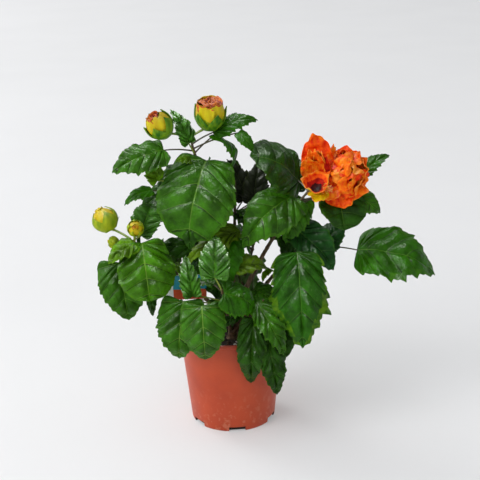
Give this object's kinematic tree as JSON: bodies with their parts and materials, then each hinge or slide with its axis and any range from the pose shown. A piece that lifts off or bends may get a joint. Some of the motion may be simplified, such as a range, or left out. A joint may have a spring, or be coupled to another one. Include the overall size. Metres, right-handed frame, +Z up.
{
  "type": "potted hibiscus shrub",
  "caption": "Flowering hibiscus shrub in a round plastic nursery pot, with broad toothed leaves, one open orange bloom, buds and a blank plant label.",
  "frame": {"origin": "centre of the pot's flat underside, on the level that the pot stands on", "axes": "+Z up along the pot's axis, -Y towards the front of the plant as it is pictured, +X to the viewer's right"},
  "size_m": [0.4051, 0.2218, 0.4012],
  "materials": {
    "pot": "thin terracotta plastic",
    "soil": "moist peat compost",
    "label": "printed card with plain colour bands",
    "bark": "grey-brown bark",
    "foliage": "glossy leaf",
    "petals": "soft petal"
  },
  "bodies": {
    "root": {"pot": "pot", "soil": "soil", "plant_label": "label", "trunk": "bark", "bough_front": "bark", "bough_low_right": "bark", "bough_left": "bark", "bough_top_left": "bark", "bough_bloom": "bark", "bough_right": "bark", "bough_centre": "bark", "bough_back_left": "bark", "bough_back_right": "bark", "bloom": "petals", "leaves_front": "foliage", "leaves_low_right": "foliage", "leaves_left": "foliage", "leaves_top_left": "foliage", "leaves_bloom": "foliage", "leaves_right": "foliage", "leaves_centre": "foliage", "leaves_back_left": "foliage", "leaves_back_right": "foliage"}
  },
  "joints": []
}
